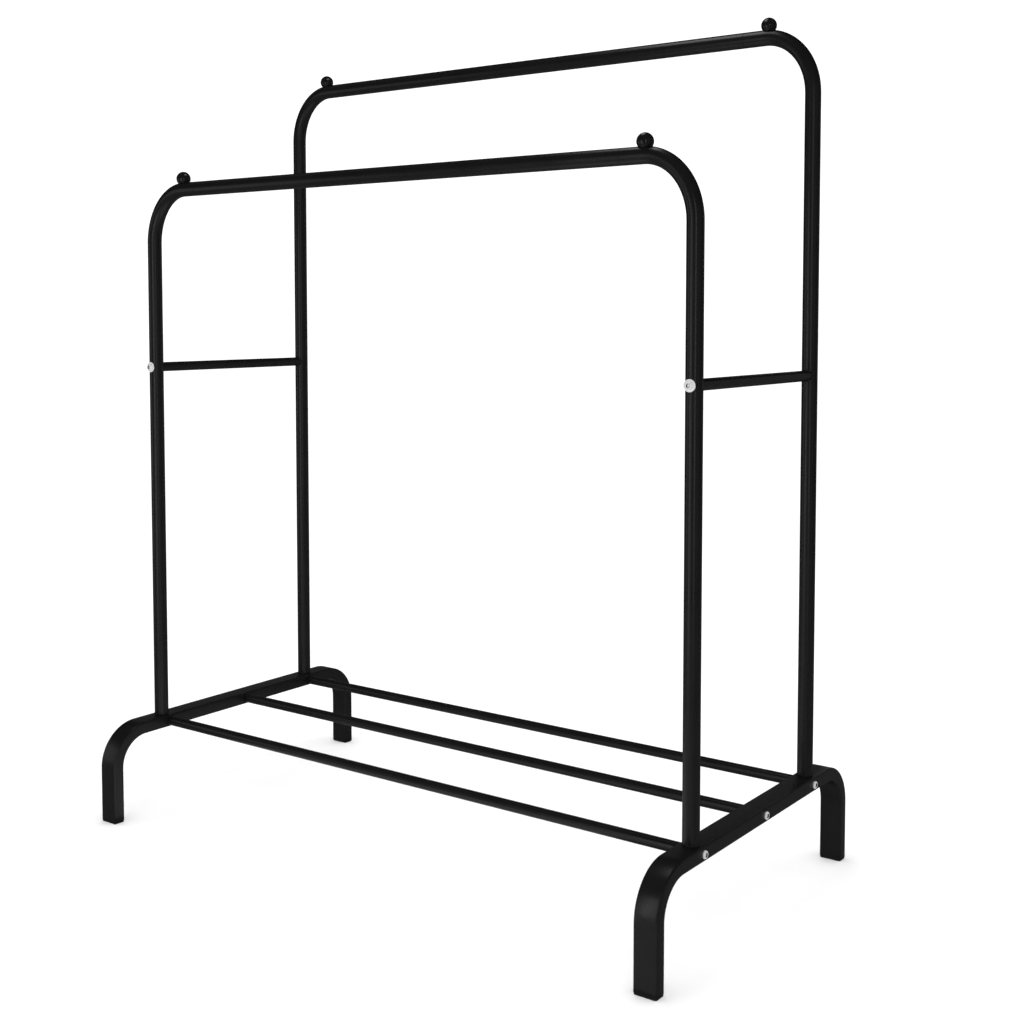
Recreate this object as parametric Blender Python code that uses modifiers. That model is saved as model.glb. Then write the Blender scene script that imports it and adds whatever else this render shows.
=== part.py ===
"""Free-standing garment rail in black powder-coated steel tube.

Two hanging rails at different heights run along X above a shelf of three rods.  Each side is a
bent leg frame that carries a front and a back upright, joined partway up by a crossbar.
Metres, +Z up, origin on the floor under the middle; the lower rail is on the -Y side.
"""
import math

import bmesh
import bpy
from mathutils import Matrix, Vector

# ---- Driving dimensions -------------------------------------------------------------------

SIGN_X = {"left": -1.0, "right": 1.0}
SIGN_Y = {"front": -1.0, "back": 1.0}

UPRIGHT_X = 0.5555           # axis of each upright
UPRIGHT_Y = 0.1865
RAIL_Z = {"front": 1.128, "back": 1.345}

TUBE_RADIUS = 0.0125         # uprights and hanging rails
TUBE_WALL = 0.001
TUBE_SIDES = 16
BEND_REACH = 0.0815          # the top bend is a quarter ellipse: reach along the rail,
BEND_DROP = 0.0935           # drop down the upright
BEND_STEPS = 8
RAIL_SEAM_X = 0.438          # where the bent upright meets the straight rail

ROD_RADIUS = 0.0085          # crossbars and shelf rods
ROD_WALL = 0.001
ROD_SIDES = 12
CROSSBAR_Z = 0.811
SHELF_ROD_Y = {"front": -0.181, "middle": 0.0105, "back": 0.183}

LEG_WIDTH = 0.037            # flat tube of the leg frames, measured along X
LEG_THICKNESS = 0.0217
LEG_CORNER = 0.003
LEG_WALL = 0.0012
LEG_LENGTH = 0.621
LEG_TOP_Z = 0.1697
LEG_BEND_RADIUS = 0.0623     # centreline of the leg bends
LEG_BEND_STEPS = 6

STUB_RADIUS = 0.0109         # stubs on the leg frames that the uprights slip over
STUB_WALL = 0.0015
STUB_HEIGHT = 0.060

JOINER_RADIUS = 0.0109       # push-fit sleeves inside the rail seams
JOINER_WALL = 0.0015
JOINER_LENGTH = 0.064

BALL_RADIUS = 0.0125
BALL_X = {"front": 0.4755, "back": 0.479}
BALL_RISE = 0.019            # centre of the ball above the rail's axis
BALL_SEGMENTS = 16
BALL_RINGS = 10
STUD_RADIUS = 0.003
STUD_ABOVE = 0.009           # the stud's reach above and below the top of the tube
STUD_BELOW = 0.008

FOOT_FLANGE = 0.003
FOOT_BODY = 0.016
FOOT_WALL = 0.002
FOOT_INSET = 0.0004          # the flange is this much smaller than the leg all round

INSERT_RADIUS = 0.0068       # threaded plugs in the bolted ends of crossbars and rods
INSERT_LENGTH = 0.024
INSERT_SETBACK = 0.001

BOLT_RADIUS = 0.003
BOLT_TIP_TAPER = 0.0008
BOLT_HEAD_RADIUS = 0.006
BOLT_HEAD_HEIGHT = 0.0032
BOLT_CROWN_RADIUS = 0.0041   # flat ring around the socket
BOLT_RIM_HEIGHT = 0.0007
SOCKET_RADIUS = 0.0035
SOCKET_DEPTH = 0.0025
CROSSBAR_BOLT_LENGTH = 0.045
SHELF_BOLT_LENGTH = 0.055
BOLT_HOLE_RADIUS = 0.0034
WASHER_RADIUS = 0.009
WASHER_THICKNESS = 0.0016

HARDWARE_SIDES = 12          # facets of bolts, plugs and holes
GAP = 0.0003                 # clearance between touching pieces
MERGE = 0.00005              # vertices closer than this are welded

# ---- Scene --------------------------------------------------------------------------------

for old in list(bpy.data.objects):
    bpy.data.objects.remove(old, do_unlink=True)

parts = bpy.data.collections.new("garment_rail")
cutters = bpy.data.collections.new("cutters")
for collection in (parts, cutters):
    bpy.context.scene.collection.children.link(collection)


def make_material(name, colour, metallic, roughness):
    material = bpy.data.materials.new(name)
    material.use_nodes = True
    shader = material.node_tree.nodes["Principled BSDF"]
    shader.inputs["Base Color"].default_value = (*colour, 1.0)
    shader.inputs["Metallic"].default_value = metallic
    shader.inputs["Roughness"].default_value = roughness
    return material


POWDER_COAT = make_material("powder_coat", (0.012, 0.012, 0.013), 0.0, 0.42)
GLOSS_PLASTIC = make_material("gloss_plastic", (0.008, 0.008, 0.009), 0.0, 0.15)
MATTE_PLASTIC = make_material("matte_plastic", (0.015, 0.015, 0.015), 0.0, 0.6)
ZINC_PLATE = make_material("zinc_plate", (0.78, 0.79, 0.80), 1.0, 0.28)
BARE_STEEL = make_material("bare_steel", (0.45, 0.45, 0.46), 1.0, 0.4)


# ---- Shape helpers ------------------------------------------------------------------------

def new_object(name, data, material=None, collection=parts):
    obj = bpy.data.objects.new(name, data)
    collection.objects.link(obj)
    if material:
        data.materials.clear()
        data.materials.append(material)
    return obj


def bake(obj):
    """The mesh that an object evaluates to, with loose caps welded; the object is removed."""
    bpy.context.view_layer.update()
    graph = bpy.context.evaluated_depsgraph_get()
    mesh = bpy.data.meshes.new_from_object(obj.evaluated_get(graph))
    work = bmesh.new()
    work.from_mesh(mesh)
    bmesh.ops.remove_doubles(work, verts=work.verts, dist=MERGE)
    work.to_mesh(mesh)
    work.free()
    bpy.data.objects.remove(obj, do_unlink=True)
    return mesh


def smooth(mesh, angle=math.radians(40.0)):
    mesh.shade_smooth()
    mesh.set_sharp_from_angle(angle=angle)


def poly_curve(name, points, dimensions, cyclic=False):
    curve = bpy.data.curves.new(name, "CURVE")
    curve.dimensions = dimensions
    curve.render_resolution_u = 0
    spline = curve.splines.new("POLY")
    spline.points.add(len(points) - 1)
    for target, point in zip(spline.points, points):
        target.co = (*Vector(point).to_3d(), 1.0)
    spline.use_cyclic_u = cyclic
    return curve


def quarter_bend(corner, into, away, reach_in, reach_out, steps):
    """Points of a quarter ellipse that rounds a square corner between two directions."""
    corner = Vector(corner)
    into = Vector(into)
    away = Vector(away)
    centre = corner - into * reach_in + away * reach_out
    points = []
    for step in range(steps + 1):
        turn = math.radians(90.0) * step / steps
        points.append(centre + into * reach_in * math.sin(turn) - away * reach_out * math.cos(turn))
    return points


def rounded_rectangle(width, height, corner, steps):
    """Outline points, anticlockwise, of a rectangle centred on the origin."""
    points = []
    for quarter in range(4):
        side_x = 1.0 if quarter in (0, 3) else -1.0
        side_y = 1.0 if quarter in (0, 1) else -1.0
        centre = Vector((side_x * (width / 2 - corner), side_y * (height / 2 - corner)))
        for step in range(steps + 1):
            turn = math.radians(90.0) * (quarter + step / steps)
            points.append(centre + corner * Vector((math.cos(turn), math.sin(turn))))
    return points


def tube(name, path, wall, material, radius=None, sides=None, section=None):
    """A hollow tube, open at both ends, along a path: round, or of a given section."""
    curve = poly_curve(name + "_path", path, "3D")
    curve.twist_mode = "MINIMUM"
    outline = None
    if section:
        # A clockwise section makes a surface that faces outwards.
        outline = new_object(name + "_section", poly_curve(name, section[::-1], "2D", True),
                             collection=cutters)
        curve.bevel_mode = "OBJECT"
        curve.bevel_object = outline
    else:
        curve.bevel_depth = radius
        curve.bevel_resolution = sides // 2 - 2
    mesh = bake(new_object(name + "_path", curve, collection=cutters))
    if outline:
        bpy.data.objects.remove(outline, do_unlink=True)
    mesh.name = name
    smooth(mesh)
    obj = new_object(name, mesh, material)
    thicken = obj.modifiers.new("wall", "SOLIDIFY")
    thicken.thickness = wall
    thicken.offset = -1.0
    thicken.use_even_offset = True
    return obj


def cylinder_mesh(name, radius, length, sides=HARDWARE_SIDES):
    """A closed cylinder along Z, centred on the origin."""
    work = bmesh.new()
    bmesh.ops.create_cone(work, cap_ends=True, segments=sides, radius1=radius, radius2=radius,
                          depth=length)
    mesh = bpy.data.meshes.new(name)
    work.to_mesh(mesh)
    work.free()
    return mesh


def turned_mesh(name, profile, sides):
    """A solid of revolution about Z; the profile runs down its outer side, top to bottom."""
    mesh = bpy.data.meshes.new(name)
    edges = [(index, index + 1) for index in range(len(profile) - 1)]
    mesh.from_pydata([(radius, 0.0, height) for radius, height in profile], edges, [])
    obj = new_object(name, mesh, collection=cutters)
    turn = obj.modifiers.new("turn", "SCREW")
    turn.steps = sides
    turn.render_steps = sides
    turn.use_merge_vertices = True
    turn.merge_threshold = MERGE
    mesh = bake(obj)
    smooth(mesh)
    return mesh


def prism_mesh(name, outline, height):
    """A flat outline raised to the height, standing on Z = 0."""
    curve = poly_curve(name, outline, "2D", True)
    curve.fill_mode = "BOTH"
    curve.extrude = height / 2
    mesh = bake(new_object(name, curve, collection=cutters))
    mesh.transform(Matrix.Translation((0.0, 0.0, height / 2)))
    return mesh


def facing(location, direction):
    """The matrix that puts a piece's own +Z along the direction, at the location."""
    turn = Vector(direction).to_track_quat("Z", "Y").to_matrix().to_4x4()
    return Matrix.Translation(location) @ turn


def add_boolean(obj, mesh, matrix, operation="DIFFERENCE"):
    """Cut or join a shape, kept as a wire object that is never built."""
    cutter = new_object(f"{obj.name}_cutter_{len(obj.modifiers)}", mesh, collection=cutters)
    cutter.matrix_world = matrix
    cutter.display_type = "WIRE"
    cutter.hide_render = True
    modifier = obj.modifiers.new(cutter.name, "BOOLEAN")
    modifier.operation = operation
    modifier.solver = "EXACT"
    modifier.object = cutter
    return cutter


def combine(mesh, other, matrix, operation="DIFFERENCE"):
    """Cut or join two meshes into one mesh."""
    base = new_object("combine", mesh, collection=cutters)
    cutter = add_boolean(base, other, matrix, operation)
    result = bake(base)
    bpy.data.objects.remove(cutter, do_unlink=True)
    return result


def drill(obj, location, direction, radius, length, sides=HARDWARE_SIDES):
    """A round hole centred on the location, running both ways along the direction."""
    hole = cylinder_mesh(obj.name + "_hole", radius, length, sides)
    add_boolean(obj, hole, facing(location, direction))


def place(name, mesh, location, direction, material):
    """One copy of a repeated piece, its own +Z along the direction."""
    obj = new_object(name, mesh, material)
    obj.matrix_world = facing(location, direction)


# ---- Small pieces, each shaped once ---------------------------------------------------------

def bolt_mesh(name, length):
    """A button-head socket bolt; the underside of its head is at Z = 0, the head above."""
    mid_radius = BOLT_HEAD_RADIUS - 0.3 * (BOLT_HEAD_RADIUS - BOLT_CROWN_RADIUS)
    mid_height = BOLT_RIM_HEIGHT + 0.6 * (BOLT_HEAD_HEIGHT - BOLT_RIM_HEIGHT)
    profile = [(0.0, BOLT_HEAD_HEIGHT), (BOLT_CROWN_RADIUS, BOLT_HEAD_HEIGHT),
               (mid_radius, mid_height), (BOLT_HEAD_RADIUS, BOLT_RIM_HEIGHT),
               (BOLT_HEAD_RADIUS, 0.0), (BOLT_RADIUS, 0.0), (BOLT_RADIUS, BOLT_TIP_TAPER - length),
               (BOLT_RADIUS - BOLT_TIP_TAPER, -length), (0.0, -length)]
    mesh = turned_mesh(name, profile, HARDWARE_SIDES)
    hexagon = cylinder_mesh(name + "_socket", SOCKET_RADIUS, 2 * SOCKET_DEPTH, 6)
    return combine(mesh, hexagon, Matrix.Translation((0.0, 0.0, BOLT_HEAD_HEIGHT)))


def ring_mesh(name, outer, inner, length, sides):
    """A plain ring or bush standing on Z = 0."""
    profile = [(inner, length), (outer, length), (outer, 0.0), (inner, 0.0), (inner, length)]
    return turned_mesh(name, profile, sides)


def ball_mesh():
    """The finial, its centre at the origin: saddled over the rail and bored for its stud."""
    work = bmesh.new()
    bmesh.ops.create_uvsphere(work, u_segments=BALL_SEGMENTS, v_segments=BALL_RINGS,
                              radius=BALL_RADIUS)
    sphere = bpy.data.meshes.new("ball_sphere")
    work.to_mesh(sphere)
    work.free()
    tube_top = TUBE_RADIUS - BALL_RISE
    saddle = cylinder_mesh("ball_saddle", TUBE_RADIUS + 2 * GAP, 4 * BALL_RADIUS, 2 * TUBE_SIDES)
    mesh = combine(sphere, saddle, facing((0.0, 0.0, -BALL_RISE), (1.0, 0.0, 0.0)))
    depth = STUD_ABOVE + GAP
    bore = cylinder_mesh("ball_bore", STUD_RADIUS + GAP, 2 * depth)
    mesh = combine(mesh, bore, Matrix.Translation((0.0, 0.0, tube_top)))
    smooth(mesh)
    return mesh


def foot_mesh():
    """The plug for a leg's end: a flange that the rack stands on and an open-topped body."""
    flange_outline = rounded_rectangle(LEG_WIDTH - 2 * FOOT_INSET, LEG_THICKNESS - 2 * FOOT_INSET,
                                       LEG_CORNER, 2)
    width = LEG_WIDTH - 2 * (LEG_WALL + GAP)
    depth = LEG_THICKNESS - 2 * (LEG_WALL + GAP)
    body_outline = rounded_rectangle(width, depth, LEG_CORNER - LEG_WALL, 2)
    hollow_outline = rounded_rectangle(width - 2 * FOOT_WALL, depth - 2 * FOOT_WALL, 0.001, 1)
    mesh = combine(prism_mesh("foot_flange", flange_outline, FOOT_FLANGE),
                   prism_mesh("foot_body", body_outline, FOOT_BODY),
                   Matrix.Translation((0.0, 0.0, FOOT_FLANGE / 2)), "UNION")
    return combine(mesh, prism_mesh("foot_hollow", hollow_outline, FOOT_BODY),
                   Matrix.Translation((0.0, 0.0, FOOT_FLANGE)))


crossbar_bolt = bolt_mesh("crossbar_bolt", CROSSBAR_BOLT_LENGTH)
shelf_bolt = bolt_mesh("shelf_bolt", SHELF_BOLT_LENGTH)
washer = ring_mesh("washer", WASHER_RADIUS, BOLT_HOLE_RADIUS, WASHER_THICKNESS, TUBE_SIDES)
insert = ring_mesh("insert", INSERT_RADIUS, BOLT_HOLE_RADIUS, INSERT_LENGTH, HARDWARE_SIDES)
stub = ring_mesh("stub", STUB_RADIUS, STUB_RADIUS - STUB_WALL, STUB_HEIGHT, TUBE_SIDES)
stud = cylinder_mesh("stud", STUD_RADIUS, STUD_ABOVE + STUD_BELOW)
ball = ball_mesh()
foot = foot_mesh()


# ---- Leg frames with their foot plugs and stubs ---------------------------------------------

def build_leg_frame(side):
    x = SIGN_X[side] * UPRIGHT_X
    leg_y = (LEG_LENGTH - LEG_THICKNESS) / 2
    axis_z = LEG_TOP_Z - LEG_THICKNESS / 2
    foot_z = FOOT_FLANGE + GAP
    up, along = Vector((0.0, 0.0, 1.0)), Vector((0.0, 1.0, 0.0))
    bend = (LEG_BEND_RADIUS, LEG_BEND_RADIUS, LEG_BEND_STEPS)
    path = [Vector((x, -leg_y, foot_z))]
    path += quarter_bend((x, -leg_y, axis_z), up, along, *bend)
    path += quarter_bend((x, leg_y, axis_z), along, -up, *bend)
    path += [Vector((x, leg_y, foot_z))]
    section = rounded_rectangle(LEG_WIDTH, LEG_THICKNESS, LEG_CORNER, 2)
    frame = tube(f"leg_frame_{side}", path, LEG_WALL, POWDER_COAT, section=section)
    for y in SHELF_ROD_Y.values():
        drill(frame, (x, y, axis_z), (1, 0, 0), BOLT_HOLE_RADIUS, 1.2 * LEG_WIDTH)
    for end, sign in SIGN_Y.items():
        place(f"foot_plug_{end}_{side}", foot, (x, sign * leg_y, 0.0), (0, 0, 1), MATTE_PLASTIC)
        place(f"upright_stub_{end}_{side}", stub, (x, sign * UPRIGHT_Y, LEG_TOP_Z + GAP),
              (0, 0, 1), BARE_STEEL)


# ---- Uprights, hanging rails and their joints -----------------------------------------------

def build_upright(end, side):
    """One upright, bent over at the top to meet its rail."""
    x = SIGN_X[side] * UPRIGHT_X
    y = SIGN_Y[end] * UPRIGHT_Y
    rail_z = RAIL_Z[end]
    path = [Vector((x, y, LEG_TOP_Z + GAP))]
    path += quarter_bend((x, y, rail_z), (0, 0, 1), (-SIGN_X[side], 0, 0),
                         BEND_DROP, BEND_REACH, BEND_STEPS)
    path += [Vector((SIGN_X[side] * RAIL_SEAM_X, y, rail_z))]
    upright = tube(f"upright_{end}_{side}", path, TUBE_WALL, POWDER_COAT,
                   radius=TUBE_RADIUS, sides=TUBE_SIDES)
    if end == "front":
        drill(upright, (x, y, CROSSBAR_Z), (0, 1, 0), BOLT_HOLE_RADIUS, 2.4 * TUBE_RADIUS)
    drill(upright, (SIGN_X[side] * BALL_X[end], y, rail_z + TUBE_RADIUS), (0, 0, 1),
          BOLT_HOLE_RADIUS, TUBE_RADIUS)


def build_rail(end):
    y = SIGN_Y[end] * UPRIGHT_Y
    reach = RAIL_SEAM_X - GAP
    path = [(-reach, y, RAIL_Z[end]), (reach, y, RAIL_Z[end])]
    tube(f"hanging_rail_{end}", path, TUBE_WALL, POWDER_COAT, radius=TUBE_RADIUS, sides=TUBE_SIDES)


def build_rail_joint(end, side):
    """The sleeve inside a rail's seam, and the ball finial on its stud beside it."""
    sign = SIGN_X[side]
    y = SIGN_Y[end] * UPRIGHT_Y
    rail_z = RAIL_Z[end]
    middle = Vector((sign * RAIL_SEAM_X, y, rail_z))
    half = Vector((sign * JOINER_LENGTH / 2, 0.0, 0.0))
    tube(f"rail_joiner_{end}_{side}", [middle - half, middle + half], JOINER_WALL, BARE_STEEL,
         radius=JOINER_RADIUS, sides=TUBE_SIDES)
    ball_x = sign * BALL_X[end]
    place(f"ball_finial_{end}_{side}", ball, (ball_x, y, rail_z + BALL_RISE), (0, 0, 1),
          GLOSS_PLASTIC)
    stud_z = rail_z + TUBE_RADIUS + (STUD_ABOVE - STUD_BELOW) / 2
    place(f"finial_stud_{end}_{side}", stud, (ball_x, y, stud_z), (0, 0, 1), ZINC_PLATE)


# ---- Crossbars and shelf rods ---------------------------------------------------------------

def build_crossbar(side):
    """The bar from a back upright, where it is welded on, to a front one, bolted through."""
    x = SIGN_X[side] * UPRIGHT_X
    reach = UPRIGHT_Y - TUBE_RADIUS / 2
    bar = tube(f"crossbar_{side}", [(x, -reach, CROSSBAR_Z), (x, reach, CROSSBAR_Z)], ROD_WALL,
               POWDER_COAT, radius=ROD_RADIUS, sides=ROD_SIDES)
    for y in (-UPRIGHT_Y, UPRIGHT_Y):
        # Each end is hollowed out to sit round its upright.
        drill(bar, (x, y, CROSSBAR_Z), (0, 0, 1), TUBE_RADIUS + GAP, 4 * ROD_RADIUS,
              2 * TUBE_SIDES)
    plug_y = TUBE_RADIUS + GAP + INSERT_SETBACK - UPRIGHT_Y
    place(f"crossbar_insert_{side}", insert, (x, plug_y, CROSSBAR_Z), (0, 1, 0), MATTE_PLASTIC)
    washer_y = -UPRIGHT_Y - TUBE_RADIUS - GAP
    place(f"crossbar_washer_{side}", washer, (x, washer_y, CROSSBAR_Z), (0, -1, 0), ZINC_PLATE)
    head_y = washer_y - WASHER_THICKNESS - GAP
    place(f"crossbar_bolt_{side}", crossbar_bolt, (x, head_y, CROSSBAR_Z), (0, -1, 0), ZINC_PLATE)


def build_shelf_rod(row):
    """One shelf rod between the leg frames, with the plug and the bolt at each end."""
    y = SHELF_ROD_Y[row]
    z = LEG_TOP_Z - LEG_THICKNESS / 2
    reach = UPRIGHT_X - LEG_WIDTH / 2 - GAP
    tube(f"shelf_rod_{row}", [(-reach, y, z), (reach, y, z)], ROD_WALL, POWDER_COAT,
         radius=ROD_RADIUS, sides=ROD_SIDES)
    for side, sign in SIGN_X.items():
        place(f"shelf_insert_{row}_{side}", insert, (sign * (reach - INSERT_SETBACK), y, z),
              (-sign, 0, 0), MATTE_PLASTIC)
        head_x = sign * (UPRIGHT_X + LEG_WIDTH / 2 + GAP)
        place(f"shelf_bolt_{row}_{side}", shelf_bolt, (head_x, y, z), (sign, 0, 0), ZINC_PLATE)


for side_name in SIGN_X:
    build_leg_frame(side_name)
    build_crossbar(side_name)
    for end_name in SIGN_Y:
        build_upright(end_name, side_name)
        build_rail_joint(end_name, side_name)
for end_name in RAIL_Z:
    build_rail(end_name)
for row_name in SHELF_ROD_Y:
    build_shelf_rod(row_name)
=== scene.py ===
"""The look of the garment rail: fine meshes in place of the plain solids, materials, light, camera.

Everything is in metres, in the frame that the CAD uses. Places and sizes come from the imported
nodes' boxes, and the few sizes that a box can't tell are named below.
"""
import math

import bmesh
import bpy
from mathutils import Matrix, Vector


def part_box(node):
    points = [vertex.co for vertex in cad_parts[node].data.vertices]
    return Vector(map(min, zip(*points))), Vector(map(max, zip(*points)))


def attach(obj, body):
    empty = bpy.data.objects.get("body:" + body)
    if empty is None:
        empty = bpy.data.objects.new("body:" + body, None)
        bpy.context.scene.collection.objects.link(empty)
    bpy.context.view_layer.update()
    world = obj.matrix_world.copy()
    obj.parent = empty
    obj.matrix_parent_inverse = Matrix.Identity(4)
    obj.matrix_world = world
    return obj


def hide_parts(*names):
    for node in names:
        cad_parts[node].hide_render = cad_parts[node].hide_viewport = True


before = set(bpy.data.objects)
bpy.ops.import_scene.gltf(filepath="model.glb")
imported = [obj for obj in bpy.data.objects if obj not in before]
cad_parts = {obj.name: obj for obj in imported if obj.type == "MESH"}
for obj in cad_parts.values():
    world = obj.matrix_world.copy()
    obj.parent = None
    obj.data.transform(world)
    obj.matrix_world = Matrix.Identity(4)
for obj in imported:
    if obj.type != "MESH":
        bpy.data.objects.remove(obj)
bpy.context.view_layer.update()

# ---- Sizes that the nodes' boxes can't tell, and how finely shapes are divided ----------------

TUBE_WALL = 0.001
ROD_WALL = 0.001
LEG_WALL = 0.0012
BEND_REACH = 0.0815          # the uprights' top bends are quarter ellipses
BEND_DROP = 0.0935
LEG_THICKNESS = 0.0217
LEG_CORNER = 0.003
LEG_BEND_RADIUS = 0.0623
BALL_RISE = 0.019            # centre of a ball above its rail's axis
BALL_BORE_BELOW = 0.0022     # where a stud's bore ends, below the centre of its ball
STUD_HOLE_RADIUS = 0.0034
BOLT_HOLE_RADIUS = 0.0034
BOLT_HOLE_CUFF = 0.009       # length of finely divided tube on each side of a hole
FOOT_FLANGE = 0.003
FOOT_WALL = 0.002
FOOT_EDGE = 0.0008
FOOT_CLEARANCE = 0.0003      # between a plug's body and the inside of its leg

HEAD_HEIGHT = 0.0032
HEAD_CROWN_RADIUS = 0.0041   # the flat on top of a bolt's head, which the socket is cut from
HEAD_RIM_HEIGHT = 0.0007
HEAD_CROWN_EDGE = 0.0002     # width of the ring just inside the flat's edge
HEAD_FOOT_EDGE = 0.00015     # bevel under the head
DOME_STEPS = 8
SOCKET_RADIUS = 0.0035
SOCKET_DEPTH = 0.0025
SOCKET_CHAMFER = 0.0005
SOCKET_MOUTH = SOCKET_RADIUS + 0.0001    # radius of the chamfer at the top of the head
SOCKET_FADE_LOW = 0.0001     # the painted shade on the socket's walls fades out between these heights above the floor
SOCKET_FADE_HIGH = 0.0004
SHANK_RADIUS = 0.003
THREAD_PITCH = 0.001
THREAD_DEPTH = 0.0004
THREAD_LENGTH = 0.016
WASHER_EDGE = 0.0003
WASHER_EDGE_EASE = 0.3       # where an edge's middle point lies, as a share of the edge

WELD_RADIUS = 0.0011         # fillet bead around a crossbar's back end
WELD_RIPPLES = 34
WELD_RIPPLE_SHARE = 0.10     # height of a ripple as a share of the bead's radius
WELD_SIDES = 12

LIP = 0.00025                # rounding of a cut tube's edges
LIP_STEPS = 3
SHOULDER = 0.0012            # plain ring beside a lip, which keeps the shading of long faces true
SLIVER = 0.000002            # edges shorter than this are taken out after a cut
GAP_CLOSED = 0.0002          # how far a fine tube reaches into the clearance at its end
ROUND_SIDES = 56
CORNER_STEPS = 6
CORNER_LEAST = 0.0002
BEND_STEPS = 28
TURNED_SIDES = 48
BALL_SEGMENTS = 64
BALL_RINGS = 40
FOOT_EDGE_STEPS = 4
SHARP_ANGLE = math.radians(35.0)

ZINC_RING_PITCH = 0.00035    # distance between turning marks

# ---- Settings of the floor, the surround and the camera ---------------------------------------

FLOOR_RADIUS = 60.0
FLOOR_SIDES = 96
SURROUND_STRENGTH = 1.2
FOCAL_PIXELS = 1432.0        # focal length, in pixels of a frame 1024 wide
FRAME_PIXELS = 1024
SENSOR_WIDTH = 36.0
LENS_SHIFT = -0.112
CAMERA_PLACE = (1.507, -1.911, 0.911)
CAMERA_TILT = math.radians(90.0 - 3.41)      # it looks 3.41 degrees downwards
CAMERA_TURN = 0.6310

# ---- Names of the pieces' places, and directions ----------------------------------------------

SIDES = {"left": -1.0, "right": 1.0}     # with the sign of X
ENDS = ("front", "back")
ROWS = ("front", "middle", "back")

X, Y, Z = Vector((1, 0, 0)), Vector((0, 1, 0)), Vector((0, 0, 1))


# ---- Materials --------------------------------------------------------------------------------

# Linear colours. A pair is the dark and the light shade that a pattern mixes.
COAT_SHADES = ((0.0048, 0.0048, 0.0052), (0.0064, 0.0064, 0.0069))
COAT_ON_EDGES = (0.030, 0.030, 0.031, 1.0)
BALL_SHADES = ((0.0045, 0.0045, 0.0050), (0.0068, 0.0068, 0.0074))
FOOT_SHADES = ((0.0075, 0.0075, 0.0080), (0.0125, 0.0125, 0.0130))
NYLON_SHADES = ((0.020, 0.020, 0.021), (0.032, 0.032, 0.033))
ZINC_SHADES = ((0.76, 0.77, 0.78), (0.90, 0.90, 0.91))
# Painted shade for the walls of a bolt's socket, standing in for the shade in that recess.
SOCKET_PAINTED_SHADE = (0.02, 0.02, 0.021, 1.0)
STEEL_SHADES = ((0.30, 0.30, 0.31), (0.46, 0.46, 0.47))
PAPER_SHADES = ((0.955, 0.955, 0.955), (0.965, 0.965, 0.965))


class Nodes:
    """A material's node tree, built by short calls that return output sockets."""

    def __init__(self, name):
        self.material = bpy.data.materials.new(name)
        self.material.use_nodes = True
        self.tree = self.material.node_tree
        self.shader = self.tree.nodes["Principled BSDF"]

    def add(self, kind, **settings):
        node = self.tree.nodes.new(kind)
        for key, value in settings.items():
            setattr(node, key, value)
        return node

    def feed(self, socket, source):
        if isinstance(source, bpy.types.NodeSocket):
            self.tree.links.new(source, socket)
        else:
            socket.default_value = source

    def place(self):
        """Position in metres, on the piece."""
        return self.add("ShaderNodeTexCoord").outputs["Object"]

    def local(self):
        """Position on a fastener, measured from the origin of its own mesh."""
        return self.add("ShaderNodeAttribute", attribute_name="local").outputs["Vector"]

    def noise(self, where, scale, detail=2.0, roughness=0.5):
        node = self.add("ShaderNodeTexNoise")
        self.feed(node.inputs["Vector"], where)
        self.feed(node.inputs["Scale"], scale)
        self.feed(node.inputs["Detail"], detail)
        self.feed(node.inputs["Roughness"], roughness)
        return node.outputs["Fac"]

    def spread(self, source, low, high, new_low, new_high):
        """The source's range from low to high, stretched to the new range."""
        node = self.add("ShaderNodeMapRange")
        self.feed(node.inputs["Value"], source)
        self.feed(node.inputs["From Min"], low)
        self.feed(node.inputs["From Max"], high)
        self.feed(node.inputs["To Min"], new_low)
        self.feed(node.inputs["To Max"], new_high)
        return node.outputs["Result"]

    def math(self, operation, first, second=0.0):
        node = self.add("ShaderNodeMath", operation=operation)
        self.feed(node.inputs[0], first)
        self.feed(node.inputs[1], second)
        return node.outputs[0]

    def shades(self, source, dark, light):
        """A colour between two, picked by a value from 0 to 1."""
        node = self.add("ShaderNodeMix", data_type="RGBA")
        self.feed(node.inputs["Factor"], source)
        self.feed(node.inputs["A"], (*dark, 1.0))
        self.feed(node.inputs["B"], (*light, 1.0))
        return node.outputs["Result"]

    def bump(self, height, distance, strength=1.0, normal=None):
        node = self.add("ShaderNodeBump")
        self.feed(node.inputs["Height"], height)
        self.feed(node.inputs["Distance"], distance)
        self.feed(node.inputs["Strength"], strength)
        if normal:
            self.feed(node.inputs["Normal"], normal)
        return node.outputs["Normal"]

    def finish(self, colour, roughness, normal, metallic=0.0):
        self.feed(self.shader.inputs["Base Color"], colour)
        self.feed(self.shader.inputs["Roughness"], roughness)
        self.feed(self.shader.inputs["Normal"], normal)
        self.feed(self.shader.inputs["Metallic"], metallic)
        return self.material


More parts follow.
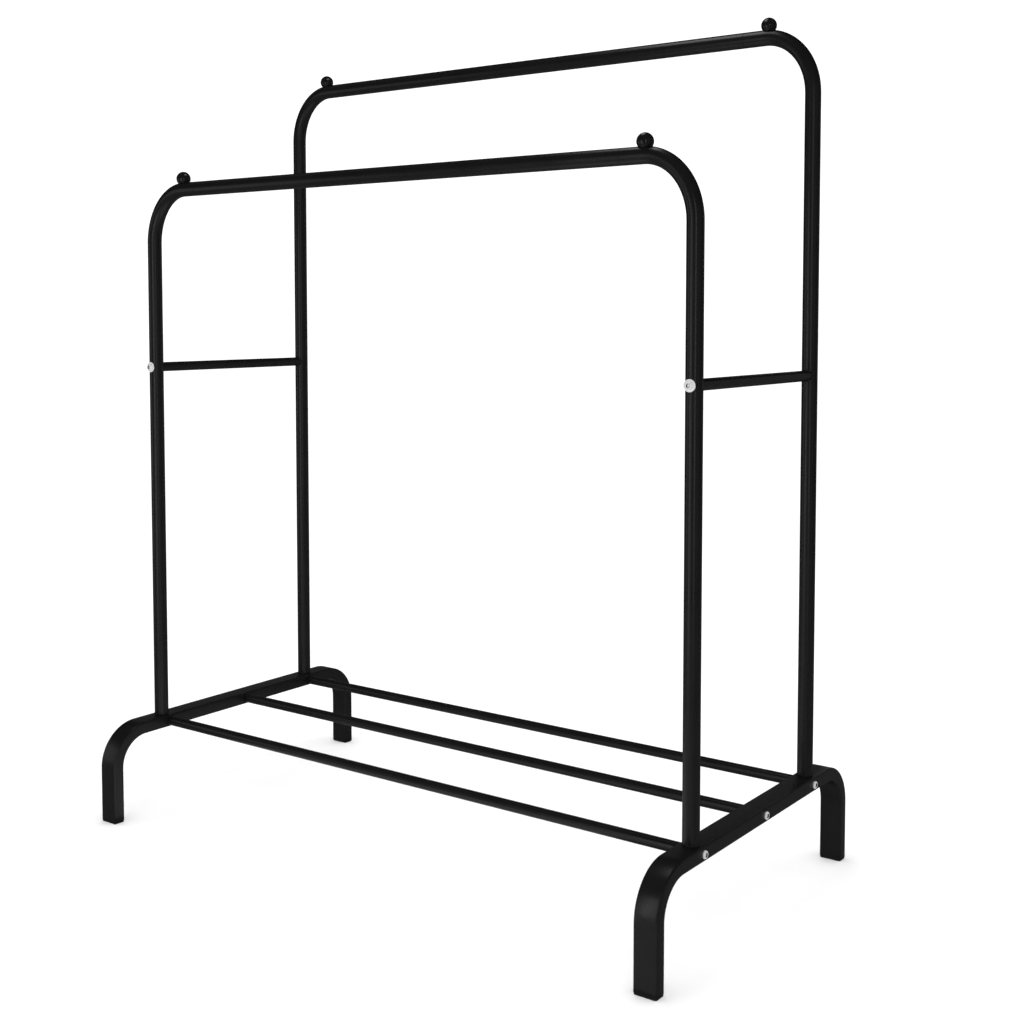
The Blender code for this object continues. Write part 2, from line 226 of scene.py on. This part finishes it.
def powder_coat():
    """Satin black powder coat: orange peel over a fine grain, uneven gloss, thin on sharp edges."""
    n = Nodes("powder_coat")
    where = n.place()
    peel = n.noise(where, scale=420.0, detail=1.0)
    grain = n.noise(where, scale=2600.0)
    patches = n.noise(where, scale=11.0, detail=4.0, roughness=0.6)
    point = n.add("ShaderNodeNewGeometry").outputs["Pointiness"]
    thin = n.spread(point, 0.58, 0.72, 0.0, 1.0)
    body = n.shades(n.spread(patches, 0.3, 0.7, 0.0, 1.0), *COAT_SHADES)
    edge = n.add("ShaderNodeMix", data_type="RGBA")
    n.feed(edge.inputs["Factor"], n.math("MULTIPLY", thin, 0.5))
    n.feed(edge.inputs["A"], body)
    n.feed(edge.inputs["B"], COAT_ON_EDGES)
    rough = n.spread(n.math("ADD", patches, n.math("MULTIPLY", grain, 0.35)), 0.45, 0.95,
                     0.25, 0.33)
    orange_peel = n.bump(peel, distance=0.00012, strength=0.13)
    normal = n.bump(grain, distance=0.00004, strength=0.06, normal=orange_peel)
    return n.finish(edge.outputs["Result"], rough, normal)


def gloss_plastic():
    """Glossy moulded black plastic with a faint moulding haze."""
    n = Nodes("gloss_black_plastic")
    where = n.place()
    haze = n.noise(where, scale=90.0, detail=3.0)
    ripple = n.noise(where, scale=260.0, detail=1.0)
    colour = n.shades(haze, *BALL_SHADES)
    rough = n.spread(haze, 0.3, 0.7, 0.10, 0.17)
    return n.finish(colour, rough, n.bump(ripple, distance=0.00003, strength=0.15))


def matte_plastic(name, shades):
    """Matt moulded plastic with a fine spark-eroded texture."""
    n = Nodes(name)
    where = n.place()
    texture = n.noise(where, scale=1500.0, detail=3.0, roughness=0.65)
    cloud = n.noise(where, scale=60.0, detail=3.0)
    colour = n.shades(cloud, *shades)
    rough = n.spread(texture, 0.3, 0.7, 0.52, 0.68)
    return n.finish(colour, rough, n.bump(texture, distance=0.00006, strength=0.5))


def bright_zinc():
    """Bright zinc plate: turning marks round the piece's axis and a slight cloudiness, with painted
    shade on the walls of a bolt's socket.
    """
    n = Nodes("bright_zinc")
    local = n.local()
    split = n.add("ShaderNodeSeparateXYZ")
    n.feed(split.inputs[0], local)
    radius = n.math("SQRT", n.math("ADD", n.math("POWER", split.outputs[0], 2.0),
                                   n.math("POWER", split.outputs[1], 2.0)))
    rings = n.math("SINE", n.math("MULTIPLY", radius, 2.0 * math.pi / ZINC_RING_PITCH))
    cloud = n.noise(local, scale=700.0, detail=4.0, roughness=0.6)
    colour = n.shades(cloud, *ZINC_SHADES)
    cloudy = n.bump(cloud, distance=0.00001, strength=0.3)
    normal = n.bump(rings, distance=0.000004, strength=0.4, normal=cloudy)
    height = split.outputs[2]
    socket_floor = HEAD_HEIGHT - SOCKET_DEPTH
    # Painted shade: the walls of a bolt's socket get a dark colour, which fades out towards the
    # socket's floor and at its mouth.
    socket_shade_mask = n.math("MULTIPLY", n.spread(radius, SOCKET_RADIUS, 1.1 * SOCKET_RADIUS, 1.0, 0.0),
                    n.spread(height, HEAD_HEIGHT - SOCKET_CHAMFER, HEAD_HEIGHT, 1.0, 0.0))
    socket_shade_mask = n.math("MULTIPLY", socket_shade_mask,
                    n.spread(height, socket_floor + SOCKET_FADE_LOW,
                             socket_floor + SOCKET_FADE_HIGH, 0.0, 1.0))
    socket_shade_mix = n.add("ShaderNodeMix", data_type="RGBA")
    n.feed(socket_shade_mix.inputs["Factor"], socket_shade_mask)
    n.feed(socket_shade_mix.inputs["A"], colour)
    n.feed(socket_shade_mix.inputs["B"], SOCKET_PAINTED_SHADE)
    rough = n.spread(cloud, 0.3, 0.7, 0.30, 0.42)
    return n.finish(socket_shade_mix.outputs["Result"], rough, normal, metallic=0.45)


def plain_steel():
    """Drawn steel of the hidden sleeves: long faint scratches and dull patches."""
    n = Nodes("plain_steel")
    where = n.place()
    patches = n.noise(where, scale=35.0, detail=4.0, roughness=0.6)
    scratches = n.noise(where, scale=1800.0, detail=3.0)
    colour = n.shades(patches, *STEEL_SHADES)
    rough = n.spread(scratches, 0.3, 0.7, 0.35, 0.55)
    normal = n.bump(scratches, distance=0.00002, strength=0.4)
    return n.finish(colour, rough, normal, metallic=1.0)


COAT = powder_coat()
BALL_PLASTIC = gloss_plastic()
FOOT_PLASTIC = matte_plastic("matt_black_plastic", FOOT_SHADES)
NYLON = matte_plastic("black_nylon", NYLON_SHADES)
ZINC = bright_zinc()
STEEL = plain_steel()


# ---- Mesh helpers ---------------------------------------------------------------------------

def centre_of(node):
    low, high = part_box(node)
    return (low + high) / 2


def size_of(node):
    low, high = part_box(node)
    return high - low


def make_object(name, mesh, material=None):
    obj = bpy.data.objects.new(name, mesh)
    bpy.context.scene.collection.objects.link(obj)
    if material:
        mesh.materials.clear()
        mesh.materials.append(material)
    return obj


def shade(mesh):
    mesh.shade_smooth()
    mesh.set_sharp_from_angle(angle=SHARP_ANGLE)


def mesh_from(name, points, faces):
    mesh = bpy.data.meshes.new(name)
    mesh.from_pydata(points, [], faces)
    mesh.validate()
    shade(mesh)
    return mesh


def skin(name, rings, closed=False):
    """Quads between neighbouring rings of equal length; the ends are capped unless it is closed."""
    count = len(rings[0])
    points = [point for ring in rings for point in ring]
    faces = []
    for index in range(len(rings) if closed else len(rings) - 1):
        here = index * count
        there = (index + 1) % len(rings) * count
        for k in range(count):
            step = (k + 1) % count
            faces.append((here + k, here + step, there + step, there + k))
    if not closed:
        faces.append(tuple(reversed(range(count))))
        faces.append(tuple(range(len(points) - count, len(points))))
    return mesh_from(name, points, faces)


def circle(radius):
    """A round section, as a function that gives the outline's points at an inset."""
    def outline(inset):
        turns = [2 * math.pi * k / ROUND_SIDES for k in range(ROUND_SIDES)]
        return [((radius - inset) * math.cos(t), (radius - inset) * math.sin(t)) for t in turns]
    return outline


def rounded_rectangle(width, height, corner):
    """A rectangular section with round corners, as a function like circle's."""
    def outline(inset):
        radius = max(corner - inset, CORNER_LEAST)
        points = []
        for quarter in range(4):
            side_x = 1.0 if quarter in (0, 3) else -1.0
            side_y = 1.0 if quarter in (0, 1) else -1.0
            x = side_x * (width / 2 - inset - radius)
            y = side_y * (height / 2 - inset - radius)
            for step in range(CORNER_STEPS + 1):
                turn = math.pi / 2 * (quarter + step / CORNER_STEPS)
                points.append((x + radius * math.cos(turn), y + radius * math.sin(turn)))
        return points
    return outline


def straight(start, end):
    """Stations, which are points with directions, at both ends of a straight run."""
    direction = (end - start).normalized()
    return [(start, direction), (end, direction)]


def quarter_bend(corner, into, away, reach_in, reach_out):
    """Stations along a quarter ellipse that rounds a square corner between two directions."""
    centre = corner - into * reach_in + away * reach_out
    stations = []
    for step in range(BEND_STEPS + 1):
        turn = math.pi / 2 * step / BEND_STEPS
        point = centre + into * reach_in * math.sin(turn) - away * reach_out * math.cos(turn)
        heading = into * reach_in * math.cos(turn) + away * reach_out * math.sin(turn)
        stations.append((point, heading.normalized()))
    return stations


def cuffed(start, end, holes):
    """Stations of a straight run, with closer ones beside each hole's distance from the start."""
    direction = (end - start).normalized()
    distances = [0.0, (end - start).length]
    for hole in holes:
        distances += [hole - BOLT_HOLE_CUFF, hole + BOLT_HOLE_CUFF]
    return [(start + direction * d, direction) for d in sorted(distances)]


def tube_mesh(name, stations, side, outline, wall):
    """A hollow tube along stations that lie in the plane square to `side`, its cut edges rounded."""
    def ring(station, inset, shift=0.0):
        point, heading = station
        out = heading.cross(side)
        middle = point + heading * shift
        return [middle + side * u + out * v for u, v in outline(inset)]

    turns = [math.pi / 2 * step / LIP_STEPS for step in range(LIP_STEPS + 1)]
    lip = [(LIP * (1 - math.sin(t)), LIP * (1 - math.cos(t))) for t in turns]
    first, last = stations[0], stations[-1]
    between = stations[1:-1]
    rings = [ring(first, inset, shift) for inset, shift in lip]
    rings += [ring(first, 0.0, SHOULDER), *(ring(at, 0.0) for at in between)]
    rings += [ring(last, 0.0, -SHOULDER)]
    rings += [ring(last, inset, -shift) for inset, shift in reversed(lip)]
    rings += [ring(last, wall - inset, -shift) for inset, shift in lip]
    rings += [ring(last, wall, -SHOULDER), *(ring(at, wall) for at in reversed(between))]
    rings += [ring(first, wall, SHOULDER)]
    rings += [ring(first, wall - inset, shift) for inset, shift in reversed(lip)]
    return skin(name, rings, closed=True)


def turned_mesh(name, profile):
    """A solid of revolution about Z from a profile of (radius, height)."""
    work = bmesh.new()
    points = [work.verts.new((radius, 0.0, height)) for radius, height in profile]
    for start, end in zip(points, points[1:]):
        work.edges.new((start, end))
    bmesh.ops.spin(work, geom=work.verts[:] + work.edges[:], cent=(0, 0, 0), axis=(0, 0, 1),
                   angle=2 * math.pi, steps=TURNED_SIDES, use_merge=True)
    bmesh.ops.remove_doubles(work, verts=work.verts[:], dist=SLIVER / 2)
    bmesh.ops.recalc_face_normals(work, faces=work.faces[:])
    mesh = bpy.data.meshes.new(name)
    work.to_mesh(mesh)
    work.free()
    shade(mesh)
    return mesh


def cone_mesh(low_radius, high_radius, length, sides):
    """A cone to cut with, its axis on Z and its middle at the origin."""
    work = bmesh.new()
    bmesh.ops.create_cone(work, cap_ends=True, segments=sides, radius1=low_radius,
                          radius2=high_radius, depth=length)
    mesh = bpy.data.meshes.new("cutter")
    work.to_mesh(mesh)
    work.free()
    return mesh


def cylinder_mesh(radius, length, sides=TURNED_SIDES):
    return cone_mesh(radius, radius, length, sides)


def facing(location, direction):
    """The matrix that puts a piece's own +Z along the direction, at the location."""
    turn = Vector(direction).to_track_quat("Z", "Y").to_matrix().to_4x4()
    return Matrix.Translation(location) @ turn


def cut(mesh, *cutters):
    """The mesh with each (cutter mesh, matrix) taken out of it."""
    obj = make_object("cutting", mesh)
    tools = []
    for shape, matrix in cutters:
        tool = make_object("tool", shape)
        tool.matrix_world = matrix
        modifier = obj.modifiers.new("cut", "BOOLEAN")
        modifier.operation = "DIFFERENCE"
        modifier.solver = "EXACT"
        modifier.object = tool
        tools.append(tool)
    bpy.context.view_layer.update()
    graph = bpy.context.evaluated_depsgraph_get()
    result = bpy.data.meshes.new_from_object(obj.evaluated_get(graph))
    for leftover in (obj, *tools):
        bpy.data.objects.remove(leftover, do_unlink=True)
    work = bmesh.new()
    work.from_mesh(result)
    bmesh.ops.dissolve_degenerate(work, dist=SLIVER, edges=work.edges[:])
    work.to_mesh(result)
    work.free()
    shade(result)
    return result


def remember_local(mesh):
    """Keeps each vertex's place on the piece, which the zinc's turning marks follow."""
    attribute = mesh.attributes.new("local", "FLOAT_VECTOR", "POINT")
    for item, vertex in zip(attribute.data, mesh.vertices):
        item.vector = vertex.co


def show(name, mesh, material, node=None, matrix=None):
    """Puts a fine piece in the scene, in place of a CAD node where one is named."""
    obj = make_object(name, mesh, material)
    if matrix:
        obj.matrix_world = matrix
    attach(obj, "root")
    if node:
        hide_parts(node)


# ---- Uprights, rails and crossbars ----------------------------------------------------------

TUBE_RADIUS = size_of("hanging_rail_front").y / 2
ROD_RADIUS = size_of("shelf_rod_front").y / 2
CROSSBAR_Z = centre_of("crossbar_left").z


def build_upright(end, side):
    """An upright and its top bend, with a hole for the finial and, in front, for the crossbar."""
    sign = SIDES[side]
    node = f"upright_{end}_{side}"
    low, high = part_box(node)
    x = sign * (high.x if sign > 0 else -low.x) - sign * TUBE_RADIUS
    y = (low.y + high.y) / 2
    rail_z = high.z - TUBE_RADIUS
    seam_x = low.x if sign > 0 else high.x
    foot = Vector((x, y, low.z - GAP_CLOSED))
    corner = Vector((x, y, rail_z))
    bend = quarter_bend(corner, Z, X * -sign, BEND_DROP, BEND_REACH)
    ball = centre_of(f"ball_finial_{end}_{side}")
    holes = [CROSSBAR_Z - foot.z] if end == "front" else []
    stations = cuffed(foot, bend[0][0], holes)[:-1] + bend
    stations += [(Vector((seam_x - sign * GAP_CLOSED / 2, y, rail_z)), X * -sign)]
    mesh = tube_mesh(node, stations, Y, circle(TUBE_RADIUS), TUBE_WALL)
    tools = [(cylinder_mesh(STUD_HOLE_RADIUS, TUBE_RADIUS),
              facing((ball.x, y, rail_z + TUBE_RADIUS), Z))]
    if end == "front":
        tools.append((cylinder_mesh(BOLT_HOLE_RADIUS, 3 * TUBE_RADIUS),
                      facing((x, y, CROSSBAR_Z), Y)))
    show(f"fine_{node}", cut(mesh, *tools), COAT, node)


def build_rail(end):
    node = f"hanging_rail_{end}"
    middle = centre_of(node)
    reach = X * (size_of(node).x / 2 + GAP_CLOSED / 2)
    mesh = tube_mesh(node, straight(middle - reach, middle + reach), Y, circle(TUBE_RADIUS),
                     TUBE_WALL)
    show(f"fine_{node}", mesh, COAT, node)


def build_crossbar(side):
    """The bar, hollowed at both ends to sit round the uprights, and the weld at its back end."""
    node = f"crossbar_{side}"
    middle = centre_of(node)
    reach = Y * (size_of(node).y / 2)
    mesh = tube_mesh(node, straight(middle - reach, middle + reach), X, circle(ROD_RADIUS),
                     ROD_WALL)
    uprights = [centre_of(f"upright_stub_{end}_{side}") for end in ENDS]
    saddle = TUBE_RADIUS + GAP_CLOSED / 2
    tools = [(cylinder_mesh(saddle, 4 * ROD_RADIUS, 2 * ROUND_SIDES),
              facing((at.x, at.y, middle.z), Z)) for at in uprights]
    show(f"fine_{node}", cut(mesh, *tools), COAT, node)

    count = 6 * WELD_RIPPLES
    rings = []
    for index in range(count):
        turn = 2 * math.pi * index / count
        out = X * math.cos(turn) + Z * math.sin(turn)
        across = ROD_RADIUS * math.cos(turn)
        depth = math.sqrt(TUBE_RADIUS ** 2 - across ** 2)
        bead = Vector((middle.x, uprights[1].y - depth, middle.z)) + out * ROD_RADIUS
        radius = WELD_RADIUS * (1.0 + WELD_RIPPLE_SHARE * math.sin(WELD_RIPPLES * turn))
        rings.append([bead + (out * math.cos(a) + Y * math.sin(a)) * radius
                      for a in (2 * math.pi * k / WELD_SIDES for k in range(WELD_SIDES))])
    weld = skin("weld", rings, closed=True)
    show(f"crossbar_weld_{side}", weld, COAT)


# ---- Leg frames and feet --------------------------------------------------------------------

def build_leg_frame(side):
    """A rectangular tube bent into two legs and the bar between them, with the bolts' holes."""
    node = f"leg_frame_{side}"
    low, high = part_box(node)
    x = (low.x + high.x) / 2
    leg_y = high.y - LEG_THICKNESS / 2
    axis_z = high.z - LEG_THICKNESS / 2
    foot_z = low.z - GAP_CLOSED
    bolts = [centre_of(f"shelf_bolt_{row}_{side}") for row in ROWS]
    front = quarter_bend(Vector((x, -leg_y, axis_z)), Z, Y, LEG_BEND_RADIUS, LEG_BEND_RADIUS)
    back = quarter_bend(Vector((x, leg_y, axis_z)), Y, -Z, LEG_BEND_RADIUS, LEG_BEND_RADIUS)
    top = cuffed(front[-1][0], back[0][0], [bolt.y - front[-1][0].y for bolt in bolts])
    stations = [(Vector((x, -leg_y, foot_z)), Z), *front, *top[1:-1], *back,
                (Vector((x, leg_y, foot_z)), -Z)]
    outline = rounded_rectangle(high.x - low.x, LEG_THICKNESS, LEG_CORNER)
    mesh = tube_mesh(node, stations, X, outline, LEG_WALL)
    tools = [(cylinder_mesh(BOLT_HOLE_RADIUS, 2 * (high.x - low.x)), facing(bolt, X))
             for bolt in bolts]
    show(f"fine_{node}", cut(mesh, *tools), COAT, node)


def foot_mesh(width, depth, body_width, body_depth, height):
    """A moulded plug standing on Z = 0: a soft-edged flange and an open-topped body."""
    flange = rounded_rectangle(width, depth, LEG_CORNER)
    body = rounded_rectangle(body_width, body_depth, LEG_CORNER - LEG_WALL)
    levels = []
    for step in range(FOOT_EDGE_STEPS + 1):
        turn = math.pi / 2 * step / FOOT_EDGE_STEPS
        levels.append((flange, FOOT_EDGE * (1 - math.sin(turn)), FOOT_EDGE * (1 - math.cos(turn))))
    levels += [(flange, 0.0, FOOT_FLANGE - LIP), (flange, LIP, FOOT_FLANGE),
               (body, 0.0, FOOT_FLANGE), (body, 0.0, height - LIP), (body, LIP, height),
               (body, FOOT_WALL - LIP, height), (body, FOOT_WALL, height - LIP),
               (body, FOOT_WALL, FOOT_FLANGE)]
    rings = [[Vector((u, v, z)) for u, v in outline(inset)] for outline, inset, z in levels]
    return skin("foot", rings)


def build_feet():
    """Four equal plugs in the legs' lower ends."""
    low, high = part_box("foot_plug_front_left")
    frame_size = size_of("leg_frame_left")
    clear = 2 * (LEG_WALL + FOOT_CLEARANCE)
    mesh = foot_mesh(high.x - low.x, high.y - low.y, frame_size.x - clear,
                     LEG_THICKNESS - clear, high.z - low.z)
    for end in ENDS:
        for side in SIDES:
            node = f"foot_plug_{end}_{side}"
            middle = centre_of(node)
            show(f"fine_{node}", mesh.copy(), FOOT_PLASTIC, node,
                 Matrix.Translation((middle.x, middle.y, 0.0)))


# ---- Finials, shelf rods and fasteners ------------------------------------------------------

def build_balls():
    """Four equal balls, hollowed below to sit on a tube and bored for a stud."""
    radius = size_of("ball_finial_front_left").x / 2
    work = bmesh.new()
    bmesh.ops.create_uvsphere(work, u_segments=BALL_SEGMENTS, v_segments=BALL_RINGS,
                              radius=radius)
    sphere = bpy.data.meshes.new("ball")
    work.to_mesh(sphere)
    work.free()
    saddle = cylinder_mesh(TUBE_RADIUS + GAP_CLOSED, 4 * radius, 2 * ROUND_SIDES)
    bore = cylinder_mesh(STUD_HOLE_RADIUS, 2 * (BALL_RISE - BALL_BORE_BELOW))
    mesh = cut(sphere, (saddle, facing((0, 0, -BALL_RISE), X)),
               (bore, Matrix.Translation((0, 0, -BALL_RISE))))
    for end in ENDS:
        for side in SIDES:
            node = f"ball_finial_{end}_{side}"
            middle = centre_of(node)
            place = Matrix.Translation((middle.x, middle.y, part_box(node)[1].z - radius))
            show(f"fine_{node}", mesh.copy(), BALL_PLASTIC, node, place)


def build_shelf_rod(row):
    node = f"shelf_rod_{row}"
    middle = centre_of(node)
    reach = X * (size_of(node).x / 2 + GAP_CLOSED)
    mesh = tube_mesh(node, straight(middle - reach, middle + reach), Y, circle(ROD_RADIUS),
                     ROD_WALL)
    show(f"fine_{node}", mesh, COAT, node)


def bolt_mesh(length, head_radius):
    """A button-head socket bolt, the underside of its head at Z = 0 and the head above."""
    dome_width = head_radius - HEAD_CROWN_RADIUS
    dome_height = HEAD_HEIGHT - HEAD_RIM_HEIGHT
    profile = [(0.0, HEAD_HEIGHT), (HEAD_CROWN_RADIUS - HEAD_CROWN_EDGE, HEAD_HEIGHT)]
    for step in range(DOME_STEPS + 1):
        turn = math.pi / 2 * step / DOME_STEPS
        profile.append((HEAD_CROWN_RADIUS + dome_width * math.sin(turn),
                        HEAD_RIM_HEIGHT + dome_height * math.cos(turn)))
    profile += [(head_radius, HEAD_FOOT_EDGE), (head_radius - HEAD_FOOT_EDGE, 0.0),
                (SHANK_RADIUS, 0.0)]
    start = THREAD_LENGTH - length
    for index in range(round(THREAD_LENGTH / THREAD_PITCH) - 1):
        crest = start - index * THREAD_PITCH
        profile += [(SHANK_RADIUS, crest), (SHANK_RADIUS, crest - 0.25 * THREAD_PITCH),
                    (SHANK_RADIUS - THREAD_DEPTH, crest - 0.6 * THREAD_PITCH)]
    profile += [(SHANK_RADIUS - THREAD_DEPTH, -length), (0.0, -length)]
    mesh = turned_mesh("bolt", profile)
    hexagon = cylinder_mesh(SOCKET_RADIUS, 2 * SOCKET_DEPTH, 6)
    chamfer = cone_mesh(SOCKET_MOUTH - SOCKET_CHAMFER, SOCKET_MOUTH + SOCKET_CHAMFER,
                        2 * SOCKET_CHAMFER, TURNED_SIDES)
    top = Matrix.Translation((0, 0, HEAD_HEIGHT))
    return cut(mesh, (hexagon, top), (chamfer, top))


def washer_mesh(outer, thickness):
    """A flat ring standing on Z = 0 with softened edges."""
    inner = BOLT_HOLE_RADIUS
    edge = WASHER_EDGE
    ease = WASHER_EDGE_EASE * edge
    profile = [(inner, edge / 2), (inner, thickness - edge / 2), (inner + edge / 2, thickness),
               (outer - edge, thickness), (outer - ease, thickness - ease),
               (outer, thickness - edge), (outer, edge), (outer - ease, ease),
               (outer - edge, 0.0), (inner + edge / 2, 0.0), (inner, edge / 2)]
    return turned_mesh("washer", profile)


def build_bolts():
    """The crossbars' bolts with their washers, and the bolts that hold the shelf rods."""
    head_radius = size_of("crossbar_bolt_left").x / 2
    for side, sign in SIDES.items():
        size = size_of(f"crossbar_bolt_{side}")
        node = f"crossbar_bolt_{side}"
        middle = centre_of(node)
        head = Vector((middle.x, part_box(node)[0].y + HEAD_HEIGHT, middle.z))
        mesh = bolt_mesh(size.y - HEAD_HEIGHT, head_radius)
        remember_local(mesh)
        show(f"fine_{node}", mesh, ZINC, node, facing(head, -Y))

        node = f"crossbar_washer_{side}"
        size = size_of(node)
        mesh = washer_mesh(size.x / 2, size.y)
        remember_local(mesh)
        base = Vector((middle.x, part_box(node)[1].y, middle.z))
        show(f"fine_{node}", mesh, ZINC, node, facing(base, -Y))

        for row in ROWS:
            node = f"shelf_bolt_{row}_{side}"
            low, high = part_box(node)
            mesh = bolt_mesh(high.x - low.x - HEAD_HEIGHT, head_radius)
            remember_local(mesh)
            head_x = (high.x if sign > 0 else low.x) - sign * HEAD_HEIGHT
            head = Vector((head_x, (low.y + high.y) / 2, (low.z + high.z) / 2))
            show(f"fine_{node}", mesh, ZINC, node, facing(head, X * sign))


def paint_hidden_nodes():
    """The pieces inside the tubes keep their CAD meshes and get finished materials."""
    for name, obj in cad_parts.items():
        if obj.hide_render:
            continue
        obj.data.materials.clear()
        obj.data.materials.append(NYLON if "insert" in name else STEEL)


for side_name in SIDES:
    build_leg_frame(side_name)
    build_crossbar(side_name)
    for end_name in ENDS:
        build_upright(end_name, side_name)
for end_name in ENDS:
    build_rail(end_name)
for row_name in ROWS:
    build_shelf_rod(row_name)
build_feet()
build_balls()
build_bolts()
paint_hidden_nodes()


# ---- Floor, light and camera ----------------------------------------------------------------

def build_floor():
    work = bmesh.new()
    bmesh.ops.create_circle(work, cap_ends=True, segments=FLOOR_SIDES, radius=FLOOR_RADIUS)
    mesh = bpy.data.meshes.new("floor")
    work.to_mesh(mesh)
    work.free()
    n = Nodes("floor_paper")
    grain = n.noise(n.place(), scale=40.0, detail=3.0)
    colour = n.shades(grain, *PAPER_SHADES)
    n.feed(n.shader.inputs["Specular IOR Level"], 0.0)
    normal = n.bump(grain, distance=0.0001, strength=0.05)
    material = n.finish(colour, 0.9, normal)
    floor = make_object("floor", mesh, material)
    floor.visible_glossy = False


def build_world():
    """A white surround that lights and is seen, but doesn't show in the coating's gloss."""
    world = bpy.data.worlds.new("studio")
    bpy.context.scene.world = world
    world.use_nodes = True
    background = world.node_tree.nodes["Background"]
    background.inputs["Color"].default_value = (1.0, 1.0, 1.0, 1.0)
    background.inputs["Strength"].default_value = SURROUND_STRENGTH
    world.cycles_visibility.glossy = False


def softbox(name, place, aim, width, height, radiance):
    """A rectangular light that the camera doesn't see, its brightness given as radiance."""
    light = bpy.data.lights.new(name, "AREA")
    light.shape = "RECTANGLE"
    light.size = width
    light.size_y = height
    light.energy = radiance * math.pi * width * height
    obj = bpy.data.objects.new(name, light)
    bpy.context.scene.collection.objects.link(obj)
    place = Vector(place)
    obj.matrix_world = facing(place, place - Vector(aim))
    obj.visible_camera = False


build_floor()
build_world()

# Boxes that stand on the floor round the rack.
for label, x, y, aim_x, width, height, radiance in (
        ("front_box", 0.0, -1.95, 0.0, 1.0, 1.3, 0.50),
        ("front_strip", -0.33, -1.90, -0.3, 0.25, 1.3, 1.25),
        ("left_box", -2.4, -1.6, 0.0, 1.4, 1.3, 0.42),
        ("right_strip", 2.25, -2.35, 0.5, 0.26, 2.0, 2.3),
        ("right_box", 3.0, -0.6, 0.0, 1.8, 2.0, 0.07),
        ("back_right_box", 1.3, 2.8, 0.0, 2.2, 2.0, 0.10),
        ("back_left_box", -2.0, 2.4, 0.0, 3.0, 2.0, 0.07),
        ("back_strip", -0.30, 2.97, 0.0, 0.3, 2.0, 0.45)):
    softbox(label, (x, y, height / 2), (aim_x, 0.0, height / 2), width, height, radiance)

# A small bright box overhead for the rails' upper edges, and a dim one on the left.
softbox("top_box", (0.06, 0.0, 2.1), (0.06, 0.0, 1.0), 0.5, 0.6, 2.1)
softbox("top_left_box", (-1.9, 0.2, 2.5), (0.0, 0.0, 1.2), 1.4, 1.4, 0.06)

# Cards that stand for the light which a pale floor sends back up.
for label, x, y, z, width, depth, radiance in (
        ("floor_bounce", 0.0, 0.0, 0.002, 5.0, 5.0, 0.09),
        ("floor_bounce_front", 0.25, -0.91, 0.003, 1.4, 1.18, 0.16),
        ("floor_bounce_shelf", -0.09, -0.4, 0.004, 0.86, 0.6, 0.27),
        ("floor_bounce_middle", -0.1, 0.13, 0.005, 0.64, 0.44, 0.12)):
    softbox(label, (x, y, z), (x, y, 1.0), width, depth, radiance)

camera_data = bpy.data.cameras.new("camera")
camera_data.sensor_width = SENSOR_WIDTH
camera_data.lens = FOCAL_PIXELS * camera_data.sensor_width / FRAME_PIXELS
camera_data.shift_y = LENS_SHIFT
camera_data.clip_start = 0.05
camera_data.clip_end = 200.0
camera = bpy.data.objects.new("camera", camera_data)
bpy.context.scene.collection.objects.link(camera)
camera.location = CAMERA_PLACE
camera.rotation_euler = (CAMERA_TILT, 0.0, CAMERA_TURN)
bpy.context.scene.camera = camera
bpy.context.scene.view_settings.view_transform = "Standard"
